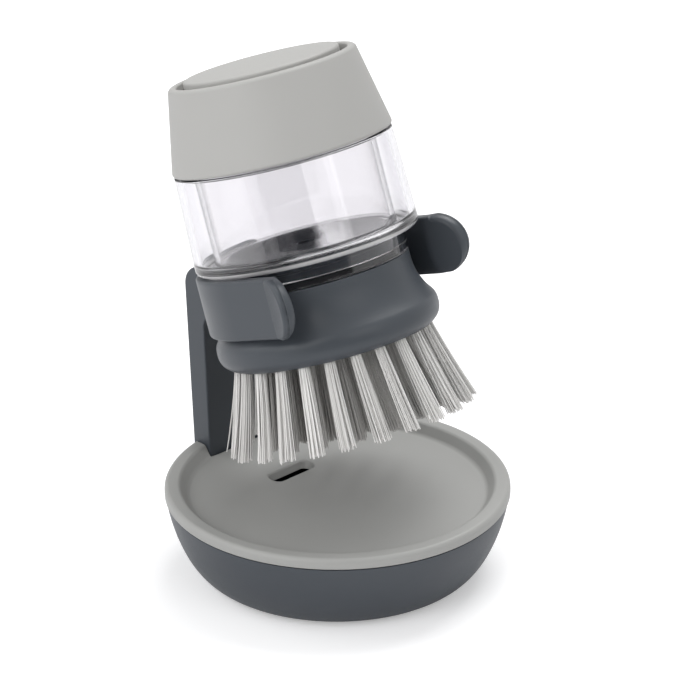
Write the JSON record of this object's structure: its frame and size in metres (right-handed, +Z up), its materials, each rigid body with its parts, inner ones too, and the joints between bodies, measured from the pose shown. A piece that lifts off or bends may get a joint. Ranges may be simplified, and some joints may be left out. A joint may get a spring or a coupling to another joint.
{
  "type": "dish brush",
  "caption": "Palm dish brush with a clear screw-on soap reservoir and a push button on top, hanging by its neck in a storage stand with a bowl and a drip tray.",
  "frame": {"origin": "centre of the underside of the stand's round base, on the surface it stands on", "axes": "+Z up, the post stands at -X, the brush is slid out towards +X, and the object is symmetric about the XZ plane"},
  "size_m": [0.0945, 0.09, 0.1401],
  "materials": {
    "slate": "fine matte moulded texture, dark slate grey",
    "warm_grey": "fine matte moulded texture, light warm grey",
    "mid_grey": "satin moulded plastic, mid grey",
    "clear": "polished clear plastic",
    "nylon": "light grey nylon filament",
    "silicone": "grey silicone rubber",
    "black_rubber": "matte black rubber",
    "steel": "plain steel"
  },
  "bodies": {
    "stand": {"stand_base": "slate", "base_pad": "black_rubber", "stand_post": "slate", "post_screw_1": "steel", "post_screw_2": "steel"},
    "tray": {"drip_tray": "mid_grey"},
    "brush": {"brush_head": "slate", "tuft_plate": "slate", "bristles": "nylon", "outlet_valve": "silicone", "valve_retainer": "slate"},
    "neck": {"neck_seal": "black_rubber"},
    "dispenser": {"reservoir": "clear", "soap_chamber": "clear", "lid_gasket": "black_rubber", "lid_plate": "mid_grey", "air_valve": "silicone", "cap_shell": "warm_grey", "button_spring": "steel", "pump_bulb": "silicone"},
    "button": {"push_button": "warm_grey"}
  },
  "joints": [
    {"name": "tray_lift", "type": "slide", "parent": "stand", "child": "tray", "axis": [0, 0, 1], "range_m": [0, 0.005]},
    {"name": "brush_slide", "type": "slide", "parent": "stand", "child": "brush", "axis": [0.9409, 0, 0.3387], "range_m": [0, 0.06]},
    {"name": "reservoir_rise", "type": "slide", "parent": "brush", "child": "neck", "axis": [-0.3387, 0, 0.9409], "range_m": [0, 0.00375]},
    {"name": "reservoir_twist", "type": "hinge", "parent": "neck", "child": "dispenser", "pos_m": [-0.0082, 0, 0.0811], "axis": [-0.3387, 0, 0.9409], "range_deg": [0, 450]},
    {"name": "button_press", "type": "slide", "parent": "dispenser", "child": "button", "axis": [0.3387, 0, -0.9409], "range_m": [0, 0.004], "stiffness_N_per_m": 600, "springref_m": -0.003, "deforming": ["button_spring", "pump_bulb"]}
  ],
  "couplings": [
    {"joint": "reservoir_rise", "follows": "reservoir_twist", "m_per_rad": 0.00047746}
  ]
}
